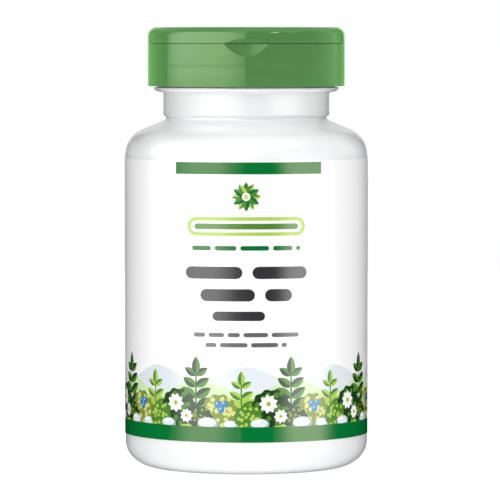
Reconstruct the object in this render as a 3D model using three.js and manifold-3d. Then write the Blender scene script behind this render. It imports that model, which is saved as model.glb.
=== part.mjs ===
// A wide-mouth capsule bottle: blow-moulded body, wrap label, sealing ring,
// and a screw-on dispensing closure whose front segment flips up.
// Millimetres, +Z up, the front of the label and the lid face -Y.
// The origin is on the bottle's axis, in the plane that it stands on.

import * as THREE from 'three'
import { mergeVertices } from 'three/addons/utils/BufferGeometryUtils.js'
import Module from 'manifold-3d'

const wasm = await Module()
wasm.setup()

// ---- Driving dimensions (mm) ----

// Steps round a full turn, and along a curve of an extruded outline
const SEGMENTS = 64
const OUTLINE_STEPS = 10

// Bottle
const BODY_R = 34.3
const WALL = 1.2
const BASE_CORNER = { run: 8.5, rise: 7.4, steps: 6 }
const CONTACT_RING_WIDTH = 1.8
const PUSH_UP = 2.6
const SHOULDER = { arcR: 7.6, arcStartZ: 88.4, slopeDeg: 23, steps: 6 }
const NECK_GROOVE = { r: 22.75, z: 98.9, half: 0.25, flank: 0.5 }
const NECK_COLLAR_R = 23.55
const BEAD = { r: 26.15, bottomZ: 106.0, topZ: 107.3, rootInset: 0.75, rootRise: 0.3, edgeRise: 0.95 }
const FINISH_R = 25.0
const RIM = { z: 116.9, outerChamfer: 0.5, innerChamfer: 0.3 }
const BORE_R = 22.2
const NECK_FOOT = { boreR: 21.5, fromZ: 99.7, toZ: 101.9 }

// Thread: six turns to the inch, right-handed
const PITCH = 25.4 / 6
const THREAD_TURNS = 1.25
const THREAD_ROOT_HALF = 1.05
const THREAD_CREST_HALF = 0.45
const THREAD_SINK = 0.4
const THREAD_FADE_STEPS = 6
const NECK_THREAD = { crestR: 26.1, startZ: 109.6 }
const CLOSURE_THREAD = { crestR: 25.4, below: 2.0, firstTurnAngle: 3.6 }

// Closure
const CLOSURE_R = 27.9
const CLOSURE_BOTTOM_Z = 107.6
const CLOSURE_TOP_Z = 124.4
const CLOSURE_EDGE = { r: 1.6, steps: 5 }
const SKIRT_CHAMFER = 0.3
const SKIRT_WALL = 1.35
const TOP_PLATE = 1.5
const DECK = { topZ: 119.7, thickness: 1.5 }
const LAND = { innerR: 22.6, outerR: 25.35, height: 0.8, taper: 0.9 }
const STEP_WALL = 1.3
const UPSTAND = { outerR: 26.3, wall: 1.1, rise: 1.9 }

// Lid: the part of the closure in front of the hinge line
const HINGE_Y = -7.6
const PART_GAP = 0.3
const LID_WALL = 1.3
const LID_TOP_PLATE = 1.4

// Dispensing hole, its raised rim and the lid's plug, all stadium shaped
const SPOUT = { y: -15.2, straightHalf: 5.0, r: 5.6, rimWall: 1.1, rimRise: 0.9 }
const PLUG = { clearance: 0.3, wall: 1.0, bottomZ: 118.6 }

// Thumb notch: shallow dishes in the front of the body and of the lid, deepest where they meet
const NOTCH = { inset: 0.87, below: 3.5, above: 1.1, dishR: 120 }

// Sealing ring
const RING = { innerR: 22.8, outerR: 24.9, gap: 0.2 }

// Label
const LABEL = { bottomZ: 9.6, topZ: 87.5, gap: 0.05, thickness: 0.2 }

// ---- Materials ----

function plastic(color, roughness) {
  return new THREE.MeshStandardMaterial({ color, roughness, metalness: 0 })
}

const BOTTLE_PLASTIC = plastic(0xf1f3f1, 0.38)
const CLOSURE_PLASTIC = plastic(0x4d8a47, 0.24)
const RING_FOAM = plastic(0xe9e7e0, 0.8)
const LABEL_FILM = plastic(0xf7f8f6, 0.45)

// ---- Helpers ----

// A closed three.js geometry as a manifold solid.
function toSolid(geometry) {
  const bare = geometry.index ? geometry.toNonIndexed() : geometry.clone()
  bare.deleteAttribute('normal')
  bare.deleteAttribute('uv')
  const merged = mergeVertices(bare, 1e-4)
  const index = merged.index.array
  const triangles = []
  for (let i = 0; i < index.length; i += 3) {
    const [a, b, c] = index.slice(i, i + 3)
    const flat = a === b || b === c || c === a
    if (!flat) {
      triangles.push(a, b, c)
    }
  }
  return new wasm.Manifold(new wasm.Mesh({
    numProp: 3,
    vertProperties: new Float32Array(merged.attributes.position.array),
    triVerts: new Uint32Array(triangles),
  }))
}

// A manifold solid as a three.js geometry with flat faces.
function toGeometry(solid) {
  const { vertProperties, triVerts } = solid.getMesh()
  const geometry = new THREE.BufferGeometry()
  geometry.setAttribute('position', new THREE.BufferAttribute(vertProperties, 3))
  geometry.setIndex(new THREE.BufferAttribute(triVerts, 1))
  const flat = geometry.toNonIndexed()
  flat.computeVertexNormals()
  return flat
}

// A profile of [radius, z] pairs, turned round the Z axis. It runs up the outside
// and back down the inside, and starts and ends on the axis or closes on itself.
function turned(profile) {
  const points = profile.map(([r, z]) => new THREE.Vector2(r, z))
  const geometry = new THREE.LatheGeometry(points, SEGMENTS)
  geometry.rotateX(Math.PI / 2)
  return toSolid(geometry)
}

// A flat shape drawn in x and y, raised from one height to another.
function raised(shape, fromZ, toZ) {
  const options = { depth: toZ - fromZ, bevelEnabled: false, curveSegments: OUTLINE_STEPS }
  const geometry = new THREE.ExtrudeGeometry(shape, options)
  geometry.translate(0, 0, fromZ)
  return toSolid(geometry)
}

// A box between two corners.
function block(from, to) {
  const size = to.map((value, axis) => value - from[axis])
  const centre = to.map((value, axis) => (value + from[axis]) / 2)
  const geometry = new THREE.BoxGeometry(...size)
  geometry.translate(...centre)
  return toSolid(geometry)
}

// Points on an elliptical arc in the profile plane, in degrees from the outward direction.
function arc(centreR, centreZ, radiusR, radiusZ, fromDeg, toDeg, steps) {
  const points = []
  for (let i = 0; i <= steps; i += 1) {
    const angle = THREE.MathUtils.degToRad(fromDeg + (toDeg - fromDeg) * i / steps)
    points.push([centreR + radiusR * Math.cos(angle), centreZ + radiusZ * Math.sin(angle)])
  }
  return points
}

// A stadium outline about the dispensing hole's centre, grown by a margin.
function stadium(margin) {
  const r = SPOUT.r + margin
  const shape = new THREE.Shape()
  shape.absarc(SPOUT.straightHalf, SPOUT.y, r, -Math.PI / 2, Math.PI / 2, false)
  shape.absarc(-SPOUT.straightHalf, SPOUT.y, r, Math.PI / 2, Math.PI * 1.5, false)
  shape.closePath()
  return shape
}

// A helical ridge from rootR to crestR, sunk a little past rootR, fading in and out.
function threadRidge(rootR, crestR, startZ, startAngle) {
  const steps = Math.round(THREAD_TURNS * SEGMENTS)
  const outward = Math.sign(crestR - rootR)
  const footR = rootR - outward * THREAD_SINK
  const positions = []
  for (let i = 0; i <= steps; i += 1) {
    const angle = startAngle + i * 2 * Math.PI / SEGMENTS
    const z = startZ + PITCH * i / SEGMENTS
    const fade = Math.min(1, (i + 1) / THREAD_FADE_STEPS, (steps - i + 1) / THREAD_FADE_STEPS)
    const topR = rootR + (crestR - rootR) * fade
    const section = [
      [footR, z - THREAD_ROOT_HALF],
      [topR, z - THREAD_CREST_HALF],
      [topR, z + THREAD_CREST_HALF],
      [footR, z + THREAD_ROOT_HALF],
    ]
    for (const [r, height] of section) {
      positions.push(r * Math.cos(angle), r * Math.sin(angle), height)
    }
  }
  const index = []
  const addQuad = (a, b, c, d) => {
    const quad = outward > 0 ? [a, b, c, a, c, d] : [a, c, b, a, d, c]
    index.push(...quad)
  }
  for (let i = 0; i < steps; i += 1) {
    for (let side = 0; side < 4; side += 1) {
      const next = (side + 1) % 4
      addQuad(i * 4 + side, i * 4 + 4 + side, i * 4 + 4 + next, i * 4 + next)
    }
  }
  addQuad(0, 1, 2, 3)
  addQuad(steps * 4 + 3, steps * 4 + 2, steps * 4 + 1, steps * 4)
  const geometry = new THREE.BufferGeometry()
  geometry.setAttribute('position', new THREE.Float32BufferAttribute(positions, 3))
  geometry.setIndex(index)
  return toSolid(geometry)
}

function piece(name, solid, material) {
  const mesh = new THREE.Mesh(toGeometry(solid), material)
  mesh.name = name
  return mesh
}

// ---- Bottle ----

const CONTACT_RING_R = BODY_R - BASE_CORNER.run

// The push-up's dome, as shares of the contact ring's inner radius and of the dome's height.
const PUSH_UP_CURVE = [[0, 1], [0.55, 0.8], [0.9, 0.32], [1, 0]]

// The shoulder and side, offset inwards: a cone that rolls over into the straight side.
function shoulder(offset, neckR) {
  const centreR = BODY_R - SHOULDER.arcR
  const arcR = SHOULDER.arcR - offset
  const endDeg = 90 - SHOULDER.slopeDeg
  const curve = arc(centreR, SHOULDER.arcStartZ, arcR, arcR, 0, endDeg, SHOULDER.steps)
  const [coneR, coneZ] = curve[curve.length - 1]
  const slope = Math.tan(THREE.MathUtils.degToRad(SHOULDER.slopeDeg))
  return [...curve, [neckR, coneZ + (coneR - neckR) * slope]]
}

function outsideOfBottle() {
  const { run, rise, steps } = BASE_CORNER
  const ringInnerR = CONTACT_RING_R - CONTACT_RING_WIDTH
  const grooveTopZ = NECK_GROOVE.z + NECK_GROOVE.half
  return [
    ...PUSH_UP_CURVE.map(([across, up]) => [ringInnerR * across, PUSH_UP * up]),
    ...arc(CONTACT_RING_R, rise, run, rise, -90, 0, steps),
    ...shoulder(0, NECK_COLLAR_R),
    [NECK_GROOVE.r, NECK_GROOVE.z - NECK_GROOVE.half],
    [NECK_GROOVE.r, grooveTopZ],
    [NECK_COLLAR_R, grooveTopZ + NECK_GROOVE.flank],
    [NECK_COLLAR_R, BEAD.bottomZ],
    [BEAD.r - BEAD.rootInset, BEAD.bottomZ + BEAD.rootRise],
    [BEAD.r, BEAD.bottomZ + BEAD.edgeRise],
    [BEAD.r, BEAD.topZ],
    [FINISH_R, BEAD.topZ],
    [FINISH_R, RIM.z - RIM.outerChamfer],
    [FINISH_R - RIM.outerChamfer, RIM.z],
  ]
}

function insideOfBottle() {
  const { run, rise, steps } = BASE_CORNER
  return [
    [BORE_R + RIM.innerChamfer, RIM.z],
    [BORE_R, RIM.z - RIM.innerChamfer],
    [BORE_R, NECK_FOOT.toZ],
    [NECK_FOOT.boreR, NECK_FOOT.fromZ],
    ...shoulder(WALL, NECK_FOOT.boreR).reverse(),
    ...arc(CONTACT_RING_R, rise, run - WALL, rise - WALL, 0, -90, steps),
    [0, PUSH_UP + WALL],
  ]
}

function bottle() {
  const body = turned([...outsideOfBottle(), ...insideOfBottle()])
  const ridge = threadRidge(FINISH_R, NECK_THREAD.crestR, NECK_THREAD.startZ, 0)
  return piece('bottle', body.add(ridge), BOTTLE_PLASTIC)
}

// ---- Closure ----

const LID_BOTTOM_Z = DECK.topZ + PART_GAP
const DECK_BOTTOM_Z = DECK.topZ - DECK.thickness

// How far cutting blocks reach past the closure, and how far fused pieces sink in.
const REACH = CLOSURE_R + 5
const FUSE = 0.5

// The outside of the closure from a given height to the middle of its flat top.
function closureOutside(startZ) {
  const { r, steps } = CLOSURE_EDGE
  const edge = arc(CLOSURE_R - r, CLOSURE_TOP_Z - r, r, r, 0, 90, steps)
  return [[CLOSURE_R, startZ], ...edge, [0, CLOSURE_TOP_Z]]
}

// A bar whose gently bulging side dishes the front of the closure. It cuts as deep as
// NOTCH.inset at deepZ, leans outwards from there and leaves the closure at endZ.
function dish(deepZ, endZ) {
  const { inset, dishR } = NOTCH
  const side = CLOSURE_R / 3
  const halfAngle = Math.asin(side / dishR)
  const outline = new THREE.Shape()
  outline.absarc(0, -dishR, dishR, Math.PI / 2 - halfAngle, Math.PI / 2 + halfAngle, false)
  outline.lineTo(-side, -side)
  outline.lineTo(side, -side)
  outline.closePath()
  const options = { depth: side, bevelEnabled: false, curveSegments: OUTLINE_STEPS }
  const geometry = new THREE.ExtrudeGeometry(outline, options)
  geometry.translate(0, 0, -side / 2)
  geometry.rotateX(Math.atan(inset / (endZ - deepZ)))
  geometry.translate(0, inset / 2 - CLOSURE_R, (deepZ + endZ) / 2)
  return toSolid(geometry)
}

function closureBody() {
  const skirtInnerR = CLOSURE_R - SKIRT_WALL
  const ceilingZ = CLOSURE_TOP_Z - TOP_PLATE
  const landBottomZ = DECK_BOTTOM_Z - LAND.height
  const shell = turned([
    ...closureOutside(CLOSURE_BOTTOM_Z + SKIRT_CHAMFER),
    [0, ceilingZ],
    [LAND.innerR, ceilingZ],
    [LAND.innerR, DECK_BOTTOM_Z],
    [LAND.outerR, DECK_BOTTOM_Z],
    [LAND.outerR, landBottomZ],
    [skirtInnerR, landBottomZ - LAND.taper],
    [skirtInnerR, CLOSURE_BOTTOM_Z],
    [CLOSURE_R - SKIRT_CHAMFER, CLOSURE_BOTTOM_Z],
    [CLOSURE_R, CLOSURE_BOTTOM_Z + SKIRT_CHAMFER],
  ])
  const stepFrontY = HINGE_Y + PART_GAP / 2
  const stepBackY = stepFrontY + STEP_WALL
  const lidSpace = block([-REACH, -REACH, DECK.topZ], [REACH, stepFrontY, CLOSURE_TOP_Z + REACH])

  // The deck and the step up from it to the raised rear fill in the land's middle.
  const fillTopZ = ceilingZ + FUSE
  const fillR = LAND.innerR + FUSE
  const filler = turned([[0, DECK_BOTTOM_Z], [fillR, DECK_BOTTOM_Z], [fillR, fillTopZ], [0, fillTopZ]])
  const deck = filler.intersect(block([-REACH, -REACH, 0], [REACH, stepBackY, DECK.topZ]))
  const stepWall = filler.intersect(block([-REACH, stepFrontY, 0], [REACH, stepBackY, CLOSURE_TOP_Z]))

  // The rim that stands inside the lid's wall, from one end of the step to the other.
  const upstandInnerR = UPSTAND.outerR - UPSTAND.wall
  const upstandTopZ = DECK.topZ + UPSTAND.rise
  const upstand = turned([
    [upstandInnerR, DECK.topZ - FUSE],
    [UPSTAND.outerR, DECK.topZ - FUSE],
    [UPSTAND.outerR, upstandTopZ],
    [upstandInnerR, upstandTopZ],
    [upstandInnerR, DECK.topZ - FUSE],
  ]).intersect(block([-REACH, -REACH, 0], [REACH, stepFrontY + FUSE, CLOSURE_TOP_Z]))

  const spoutRim = raised(stadium(SPOUT.rimWall), DECK_BOTTOM_Z, DECK.topZ + SPOUT.rimRise)
  const spoutHole = raised(stadium(0), CLOSURE_BOTTOM_Z, CLOSURE_TOP_Z)
  const thread = CLOSURE_THREAD
  const threadAngle = thread.firstTurnAngle
  const threadZ = NECK_THREAD.startZ + PITCH * threadAngle / (2 * Math.PI) - thread.below
  const ridge = threadRidge(skirtInnerR, thread.crestR, threadZ, threadAngle)

  const solid = shell
    .subtract(lidSpace)
    .add(deck)
    .add(stepWall)
    .add(upstand)
    .add(spoutRim)
    .subtract(spoutHole)
    .subtract(dish(DECK.topZ, DECK.topZ - NOTCH.below))
    .add(ridge)
  return piece('closure_body', solid, CLOSURE_PLASTIC)
}

function closureLid() {
  const innerR = CLOSURE_R - LID_WALL
  const ceilingZ = CLOSURE_TOP_Z - LID_TOP_PLATE
  const shell = turned([
    ...closureOutside(LID_BOTTOM_Z),
    [0, ceilingZ],
    [innerR, ceilingZ],
    [innerR, LID_BOTTOM_Z],
    [CLOSURE_R, LID_BOTTOM_Z],
  ])
  const lidSide = block([-REACH, -REACH, 0], [REACH, HINGE_Y - PART_GAP / 2, CLOSURE_TOP_Z + REACH])
  const plugOuter = raised(stadium(-PLUG.clearance), PLUG.bottomZ, ceilingZ + FUSE)
  const plugHollow = raised(stadium(-PLUG.clearance - PLUG.wall), CLOSURE_BOTTOM_Z, ceilingZ)
  const solid = shell
    .intersect(lidSide)
    .add(plugOuter)
    .subtract(plugHollow)
    .subtract(dish(LID_BOTTOM_Z, LID_BOTTOM_Z + NOTCH.above))
  return piece('closure_lid', solid, CLOSURE_PLASTIC)
}

// ---- Sealing ring and label ----

function sealingRing() {
  const bottomZ = RIM.z + RING.gap
  const topZ = DECK_BOTTOM_Z - RING.gap
  const solid = turned([
    [RING.innerR, bottomZ],
    [RING.outerR, bottomZ],
    [RING.outerR, topZ],
    [RING.innerR, topZ],
    [RING.innerR, bottomZ],
  ])
  return piece('sealing_ring', solid, RING_FOAM)
}

function label() {
  const innerR = BODY_R + LABEL.gap
  const outerR = innerR + LABEL.thickness
  const solid = turned([
    [innerR, LABEL.bottomZ],
    [outerR, LABEL.bottomZ],
    [outerR, LABEL.topZ],
    [innerR, LABEL.topZ],
    [innerR, LABEL.bottomZ],
  ])
  return piece('label', solid, LABEL_FILM)
}

const group = new THREE.Group()
group.add(bottle(), label(), sealingRing(), closureBody(), closureLid())

export default group
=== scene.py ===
"""A white capsule bottle with a printed wrap label and a green flip-top closure.

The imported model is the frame. Each CAD node is replaced by a smooth, filleted piece in
the same place, with procedural materials. Two sizes differ a little from the solids: the
closure's top edge is rounder and its skirt is 0.2 mm shorter. Sizes are in millimetres in
the profiles and become metres where a mesh is made. The front faces -Y.
"""

import math
import random

import bmesh
import bpy
import numpy as np
from mathutils import Matrix, Vector
from mathutils.geometry import delaunay_2d_cdt


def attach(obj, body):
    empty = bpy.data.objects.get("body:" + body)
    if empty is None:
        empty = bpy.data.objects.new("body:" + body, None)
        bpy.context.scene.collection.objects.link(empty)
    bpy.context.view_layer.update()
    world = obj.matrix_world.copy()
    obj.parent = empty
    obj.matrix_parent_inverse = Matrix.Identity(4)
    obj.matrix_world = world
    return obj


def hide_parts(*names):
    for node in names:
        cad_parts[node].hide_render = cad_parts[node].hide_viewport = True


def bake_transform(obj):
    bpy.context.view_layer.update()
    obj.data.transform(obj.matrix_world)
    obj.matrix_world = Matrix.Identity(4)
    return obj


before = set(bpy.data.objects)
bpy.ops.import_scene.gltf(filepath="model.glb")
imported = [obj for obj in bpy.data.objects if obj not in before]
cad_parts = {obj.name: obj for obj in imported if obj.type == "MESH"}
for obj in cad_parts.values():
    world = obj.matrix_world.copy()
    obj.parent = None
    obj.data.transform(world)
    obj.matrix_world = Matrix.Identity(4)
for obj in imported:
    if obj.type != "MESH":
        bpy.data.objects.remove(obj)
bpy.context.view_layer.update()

MM = 0.001
SEGMENTS = 256
SHARP_DEGREES, BEVEL_DEGREES, BEVEL_SEGMENTS = 12, 50, 2
OUTER_ARC_STEPS, INNER_ARC_STEPS, DOME_STEPS, EDGE_STEPS = 20, 12, 16, 12
# A profile's point nearer to the axis than this is on it.
ON_AXIS = 1e-6

# ---- Sizes, in millimetres ----

BODY_R = 34.3
WALL = 1.2
BASE_CORNER_RUN, BASE_CORNER_RISE = 8.5, 7.4
CONTACT_RING_WIDTH = 1.8
PUSH_UP, PUSH_UP_POWER = 2.6, 3
FLOOR_BEND_R_SHARE, FLOOR_BEND_RISE_SHARE = 0.5, 0.85
SHOULDER_ARC_R, SHOULDER_ARC_START_Z = 7.6, 88.4
SHOULDER_SLOPE = math.radians(23)
GROOVE_R, GROOVE_Z, GROOVE_HALF = 22.75, 98.9, 0.25
COLLAR_R, COLLAR_ABOVE_GROOVE = 23.55, 0.875
BEAD_R, BEAD_BOTTOM_Z, BEAD_TOP_Z, BEAD_TOP_SLOPE = 26.15, 106.0, 107.5, 0.1
BEAD_CHAMFER_RUN, BEAD_CHAMFER_START, BEAD_CHAMFER_END = 0.75, 0.3, 0.95
FINISH_R, RIM_Z, BORE_R, NECK_FOOT_BORE_R = 25.0, 116.9, 22.2, 21.5
BORE_ABOVE_GROOVE, NECK_FOOT_ABOVE_GROOVE = 3.0, 0.8

PITCH = 25.4 / 6
THREAD_TURNS, THREAD_FADE_TURNS = 1.25, 0.1
THREAD_ROOT_HALF, THREAD_CREST_HALF, THREAD_SINK = 1.05, 0.45, 0.4
THREAD_FLANK_SHARE, THREAD_FLANK_OUT, THREAD_FLAT_SHARE = 0.85, 0.08, 0.6
NECK_THREAD_R, NECK_THREAD_START_Z = 26.1, 109.6
CLOSURE_THREAD_R, CLOSURE_THREAD_BELOW, CLOSURE_THREAD_ANGLE = 25.4, 2.0, 3.6

CLOSURE_R, CLOSURE_BOTTOM_Z, CLOSURE_TOP_Z = 27.9, 107.8, 124.4
CLOSURE_EDGE_R, CLOSURE_BEVEL, WALL_LINE_ABOVE = 2.5, 0.08, 1.0
SKIRT_WALL, TOP_PLATE = 1.35, 1.5
DECK_TOP_Z, DECK_THICKNESS = 119.7, 1.5
DECK_BOTTOM_Z = DECK_TOP_Z - DECK_THICKNESS
LAND_INNER_R, LAND_OUTER_R, LAND_HEIGHT, LAND_TAPER = 22.6, 25.35, 0.8, 0.9
STEP_WALL = 1.3
UPSTAND_R, UPSTAND_WALL, UPSTAND_RISE = 26.3, 1.1, 1.9
SINK_Z, SINK_HALF, SINK_DEPTH = 112.8, 1.5, 0.007
HINGE_Y = -7.6
SEAM, HINGE_SEAM, HINGE_GROOVE_R = 0.16, 0.34, 0.45
LID_BACK_Y, STEP_FRONT_Y = HINGE_Y - HINGE_SEAM / 2, HINGE_Y + HINGE_SEAM / 2
WEB_LENGTH, WEB_WIDTH, WEB_THICKNESS, WEB_SINK = 48.0, 1.0, 0.3, 0.12
LID_WALL, LID_TOP_PLATE = 1.3, 1.4
LID_BOTTOM_Z = DECK_TOP_Z + SEAM
SPOUT_Y, SPOUT_STRAIGHT_HALF, SPOUT_R = -15.2, 5.0, 5.6
SPOUT_RIM_WALL, SPOUT_RIM_RISE = 1.1, 0.9
PLUG_CLEARANCE, PLUG_WALL, PLUG_BOTTOM_Z = 0.3, 1.0, 118.6
NOTCH_INSET, NOTCH_BELOW, NOTCH_ABOVE = 0.87, 3.5, 1.3
DISH_R, DISH_HALF_WIDTH, DISH_STEPS = 120.0, 9.3, 48

RING_INNER_R, RING_OUTER_R, RING_GAP, RING_FILLET = 22.8, 24.9, 0.2, 0.12

LABEL_BOTTOM_Z, LABEL_TOP_Z = 9.6, 87.5
LABEL_R, LABEL_INNER_R = 34.45, 34.35
LABEL_LAP, LABEL_LAP_RISE, LABEL_LAP_RAMPS = 6.0, 0.1, 5

# ---- Node materials ----

# A mix node's colour sockets, which share their names with its other sockets.
MIX_FACTOR, MIX_COLOR_A, MIX_COLOR_B, MIX_COLOR_RESULT = 0, 6, 7, 2
WHITE = (1, 1, 1)


def set_inputs(node, values):
    """Gives the node's inputs constant values by name."""
    for name, value in values.items():
        node.inputs[name].default_value = value


def principled(name, color, roughness):
    """A new material and its Principled shader, with those constant values."""
    mat = bpy.data.materials.new(name)
    mat.use_nodes = True
    shader = mat.node_tree.nodes["Principled BSDF"]
    set_inputs(shader, {"Base Color": (*color, 1), "Roughness": roughness})
    return mat, shader


def add_node(owner, kind, **values):
    """A shader node for a material or world, with its inputs or properties set by name."""
    node = owner.node_tree.nodes.new("ShaderNode" + kind)
    for name, value in values.items():
        if name in node.inputs:
            node.inputs[name].default_value = value
        else:
            setattr(node, name, value)
    return node


def link(owner, output, target):
    """Feeds a node's output to another node's input."""
    owner.node_tree.links.new(output, target)


def object_place(mat):
    """The object's own coordinates, in metres."""
    return add_node(mat, "TexCoord").outputs["Object"]


def object_noise(mat, scale, detail=3.0):
    """Noise over the object's own coordinates; scale is in features a metre."""
    noise = add_node(mat, "TexNoise", Scale=scale, Detail=detail)
    link(mat, object_place(mat), noise.inputs["Vector"])
    return noise.outputs["Fac"]


def object_axis(mat, axis):
    """One of the object's own coordinates, by its letter."""
    split = add_node(mat, "SeparateXYZ")
    link(mat, object_place(mat), split.inputs[0])
    return split.outputs[axis]


def ranged(owner, value, low, high, start=0.0, end=1.0, curve="LINEAR"):
    """A value that runs from start to end, spread between low and high."""
    node = add_node(owner, "MapRange", interpolation_type=curve)
    set_inputs(node, {"From Min": start, "From Max": end, "To Min": low, "To Max": high})
    link(owner, value, node.inputs["Value"])
    return node.outputs["Result"]


def math_node(owner, operation, first, second=None):
    """The result of an operation on one or two values, each a number or a node's output."""
    node = add_node(owner, "Math", operation=operation)
    for socket, value in zip(node.inputs, (first, second)):
        if value is None:
            continue
        if isinstance(value, (int, float)):
            socket.default_value = value
        else:
            link(owner, value, socket)
    return node.outputs[0]


def near_zero(mat, value, half_width):
    """1 where value is 0, falling to 0 at half_width either side."""
    size = math_node(mat, "ABSOLUTE", value)
    return ranged(mat, size, 0.0, 1.0, start=half_width, end=0.0, curve="SMOOTHSTEP")


def cloudy_color(mat, shader, scale, detail, colors):
    """A base colour that drifts between two in clouds of noise."""
    tint = add_node(mat, "Mix", data_type="RGBA")
    for socket, color in zip((MIX_COLOR_A, MIX_COLOR_B), colors):
        tint.inputs[socket].default_value = (*color, 1)
    link(mat, object_noise(mat, scale, detail), tint.inputs[MIX_FACTOR])
    link(mat, tint.outputs[MIX_COLOR_RESULT], shader.inputs["Base Color"])


def patchy_roughness(mat, shader, scale, low, high):
    """A roughness that varies between low and high in patches of noise."""
    link(mat, ranged(mat, object_noise(mat, scale), low, high), shader.inputs["Roughness"])


def uneven(mat, grain, swell):
    """A height made of a fine and a broad noise, each given as (scale, detail, height)."""
    heights = []
    for scale, detail, height in (grain, swell):
        heights.append(math_node(mat, "MULTIPLY", object_noise(mat, scale, detail), height))
    return math_node(mat, "ADD", *heights)


def bump(mat, shader, height, distance):
    """Tilts the shading as if the surface rose by that distance where height is 1."""
    node = add_node(mat, "Bump", Strength=1.0, Distance=distance)
    link(mat, height, node.inputs["Height"])
    link(mat, node.outputs["Normal"], shader.inputs["Normal"])


def bottle_plastic():
    """Blow-moulded white polyethylene: satin, faintly uneven, with its mould's parting line."""
    mat, shader = principled("bottle_plastic", (0.82, 0.83, 0.84), 0.32)
    set_inputs(shader, {
        "IOR": 1.5,
        "Coat Weight": 1.0,
        "Coat Roughness": 0.22,
        "Subsurface Weight": 0.08,
        "Subsurface Radius": (0.004, 0.004, 0.0045),
        "Subsurface Scale": 1.0,
    })
    cool_white, warm_white = (0.81, 0.822, 0.832), (0.835, 0.845, 0.852)
    cloudy_color(mat, shader, scale=60, detail=2, colors=(cool_white, warm_white))
    patchy_roughness(mat, shader, scale=140, low=0.26, high=0.4)
    parting = near_zero(mat, object_axis(mat, "Y"), half_width=0.16 * MM)
    surface = uneven(mat, grain=(900, 4, 0.35), swell=(110, 1, 1.6))
    bump(mat, shader, math_node(mat, "ADD", surface, parting), distance=0.03 * MM)
    return mat


def closure_plastic(name, roughness, gloss, sheen):
    """Moulded polypropylene, coloured in the mass."""
    mat, shader = principled(name, (0.067, 0.194, 0.055), roughness)
    set_inputs(shader, {
        "IOR": 1.49,
        "Specular IOR Level": gloss,
        "Specular Tint": (0.71, 1.0, 0.55, 1),
        "Sheen Weight": sheen,
        "Sheen Roughness": 0.5,
        "Sheen Tint": (0.35, 1.0, 0.25, 1),
    })
    deep_green, light_green = (0.062, 0.172, 0.05), (0.071, 0.191, 0.058)
    cloudy_color(mat, shader, scale=90, detail=3, colors=(deep_green, light_green))
    patchy_roughness(mat, shader, scale=220, low=roughness * 0.7, high=roughness * 1.3)
    surface = uneven(mat, grain=(1400, 3, 0.25), swell=(130, 1, 0.9))
    bump(mat, shader, surface, distance=0.012 * MM)
    return mat


def ring_foam():
    """Soft closed-cell foam."""
    mat, shader = principled("ring_foam", (0.8, 0.79, 0.75), 0.85)
    cells = add_node(mat, "TexVoronoi", Scale=2600.0)
    link(mat, object_place(mat), cells.inputs["Vector"])
    roughness = ranged(mat, cells.outputs["Distance"], low=0.75, high=0.95)
    link(mat, roughness, shader.inputs["Roughness"])
    bump(mat, shader, cells.outputs["Distance"], distance=0.08 * MM)
    return mat


def label_film(name, color, roughness, gloss_tint=WHITE):
    """White film or an ink on it: flat colour, with the film's fine tooth and slow waves."""
    mat, shader = principled(name, color, roughness)
    set_inputs(shader, {"IOR": 1.8, "Specular Tint": (*gloss_tint, 1)})
    patchy_roughness(mat, shader, scale=300, low=roughness * 0.92, high=roughness * 1.15)
    surface = uneven(mat, grain=(2600, 3, 0.12), swell=(70, 1, 2.0))
    bump(mat, shader, surface, distance=0.012 * MM)
    return mat


# ---- Mesh helpers ----

# A fillet takes up less than half of either side, so that two never meet.
MOST_OF_A_SIDE = 0.49


def arc(centre_r, centre_z, radius_r, radius_z, start, end, steps):
    """Points on an elliptical arc of a profile, in degrees from the outward direction."""
    points = []
    for i in range(steps + 1):
        angle = math.radians(start + (end - start) * i / steps)
        r = centre_r + radius_r * math.cos(angle)
        points.append((r, centre_z + radius_z * math.sin(angle)))
    return points


def filleted(corners, steps=4):
    """A profile through (r, z) points, rounded at each point given as (r, z, radius)."""
    points = []
    for i, corner in enumerate(corners):
        here = Vector(corner[:2])
        if len(corner) < 3:
            points.append(tuple(here))
            continue
        before = Vector(corners[i - 1][:2]) - here
        after = Vector(corners[(i + 1) % len(corners)][:2]) - here
        turn = before.angle(after) / 2
        longest = min(before.length, after.length) * MOST_OF_A_SIDE
        reach = min(corner[2] / math.tan(turn), longest)
        start, end = here + before.normalized() * reach, here + after.normalized() * reach
        for step in range(steps + 1):
            t = step / steps
            points.append(tuple(start * (1 - t) ** 2 + here * 2 * t * (1 - t) + end * t ** 2))
    return points


def round_z(r, angle, z):
    """A point in metres, from its distance and height in millimetres and its angle."""
    return (r * MM * math.cos(angle), r * MM * math.sin(angle), z * MM)


def new_object(name, bm):
    """Turns the mesh being built into an object of the scene."""
    mesh = bpy.data.meshes.new(name)
    bm.to_mesh(mesh)
    bm.free()
    obj = bpy.data.objects.new(name, mesh)
    bpy.context.scene.collection.objects.link(obj)
    return obj


def turned(name, profile, closed=False):
    """A profile in millimetres turned round Z. A point on the axis becomes a pole."""
    bm = bmesh.new()
    rings = []
    for r, z in profile:
        if r < ON_AXIS:
            rings.append([bm.verts.new((0, 0, z * MM))])
            continue
        angles = [2 * math.pi * i / SEGMENTS for i in range(SEGMENTS)]
        rings.append([bm.verts.new(round_z(r, angle, z)) for angle in angles])
    pairs = list(zip(rings, rings[1:]))
    if closed:
        pairs.append((rings[-1], rings[0]))
    for low, high in pairs:
        if len(low) == len(high) == 1:
            continue
        for i in range(SEGMENTS):
            j = (i + 1) % SEGMENTS
            corners = [low[i % len(low)], low[j % len(low)], high[j % len(high)], high[i % len(high)]]
            bm.faces.new(list(dict.fromkeys(corners)))
    bmesh.ops.recalc_face_normals(bm, faces=bm.faces)
    return new_object(name, bm)


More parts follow.
